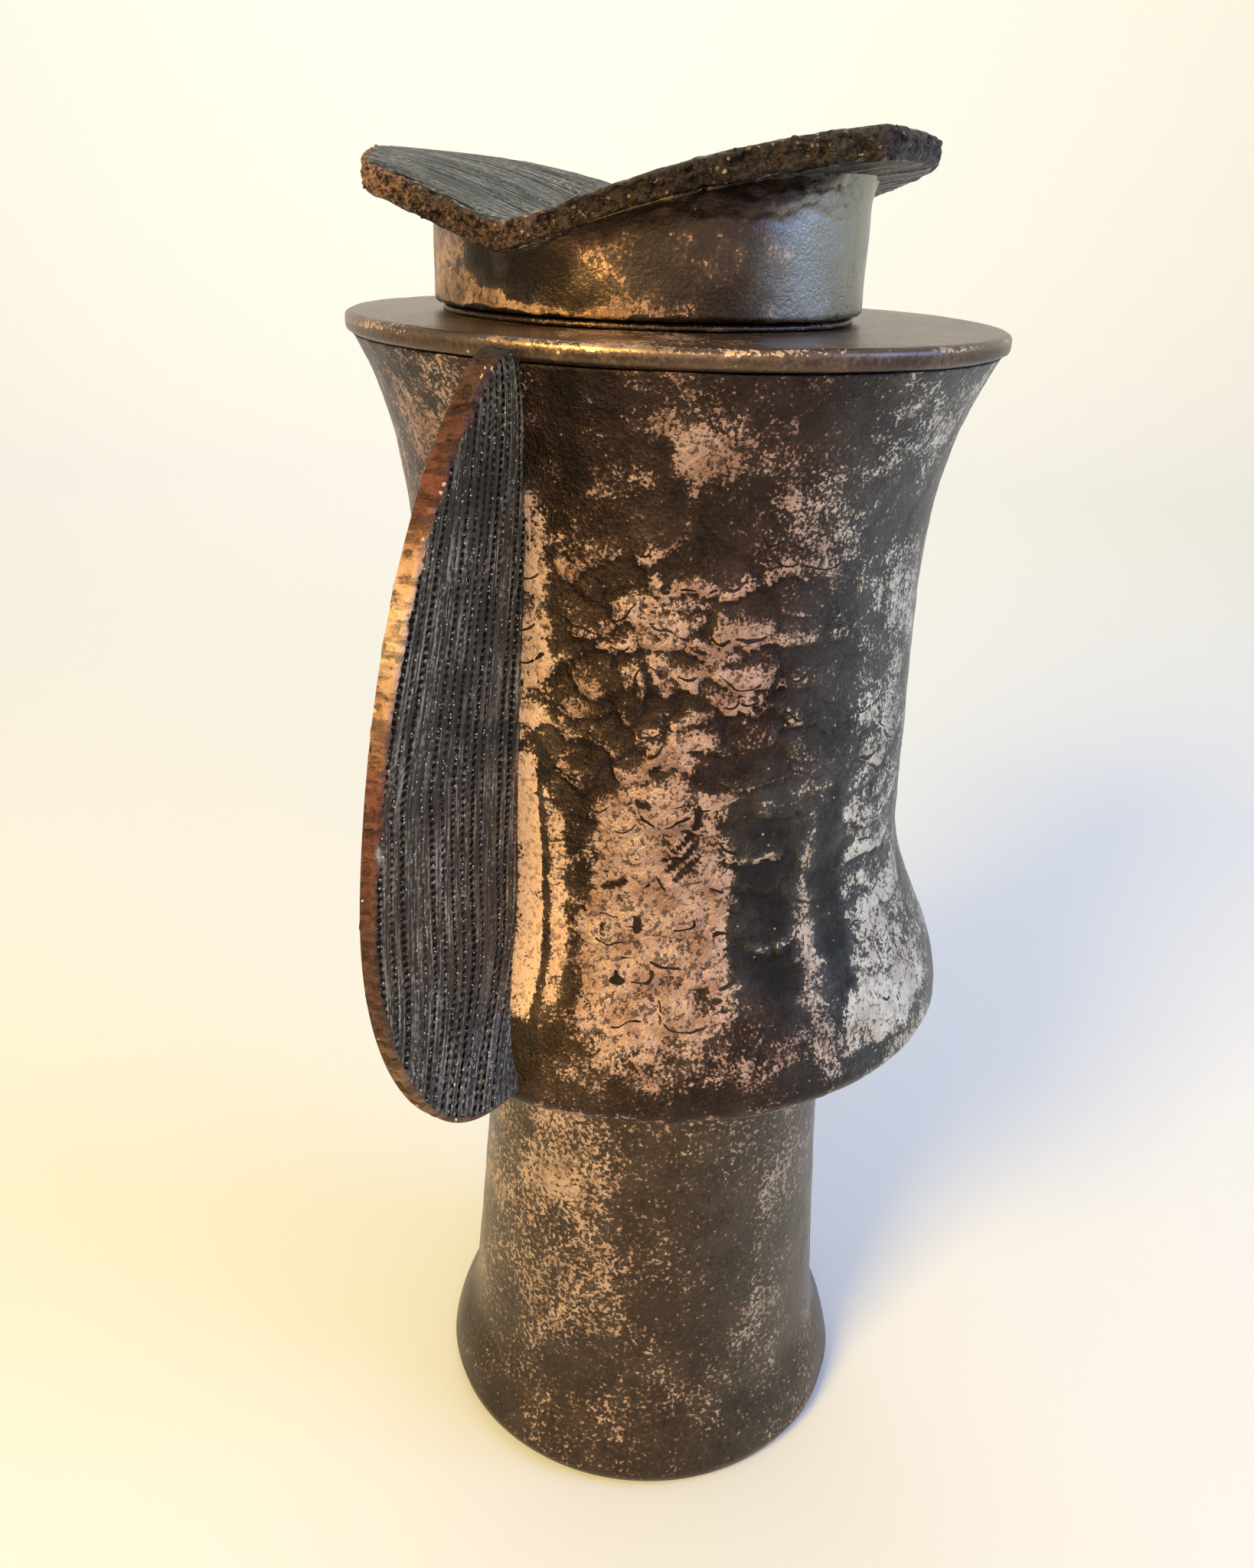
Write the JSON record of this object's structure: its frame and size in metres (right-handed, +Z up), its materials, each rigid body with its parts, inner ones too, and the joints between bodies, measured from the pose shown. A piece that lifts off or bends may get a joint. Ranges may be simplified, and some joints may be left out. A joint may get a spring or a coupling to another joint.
{
  "type": "lidded jug",
  "caption": "Tall slab-built stoneware jug with a waisted body on a flared hollow foot, a leaf-shaped wing handle, and a lift-off lid with a bent slab top.",
  "frame": {"origin": "middle of the jug's box in plan, on the table; the foot's own axis stands at x = 3.5 mm, y = 10.3 mm", "axes": "+Z up; the wing handle stands out to the front left, towards -X and -Y; the lid sits left of the middle of the shoulder, towards -X"},
  "size_m": [0.1732, 0.1938, 0.3824],
  "materials": {
    "foot_clay": "dark brown oxide wash, satin, with gold and copper flecks",
    "body_clay": "dark brown-black oxide worn through to a copper lustre, satin",
    "shoulder_clay": "smooth brown satin with a bright copper rim line",
    "neck_clay": "brown satin",
    "wing_clay": "charcoal, finely combed, with a torn copper-coloured edge",
    "drum_clay": "copper brown to blue-grey satin with black crusty patches",
    "slab_clay": "grey-blue combed top with a torn granular bronze edge"
  },
  "bodies": {
    "jug": {"foot_coil": "foot_clay", "foot_pedestal": "foot_clay", "body_floor": "body_clay", "body_wall": "body_clay", "shoulder_plate": "shoulder_clay", "neck_ring": "neck_clay", "wing_handle": "wing_clay"},
    "lid": {"lid_drum": "drum_clay", "lid_slab": "slab_clay"}
  },
  "joints": [
    {"name": "lid_lift", "type": "slide", "parent": "jug", "child": "lid", "axis": [0, 0, 1], "range_m": [0, 0.06]}
  ]
}
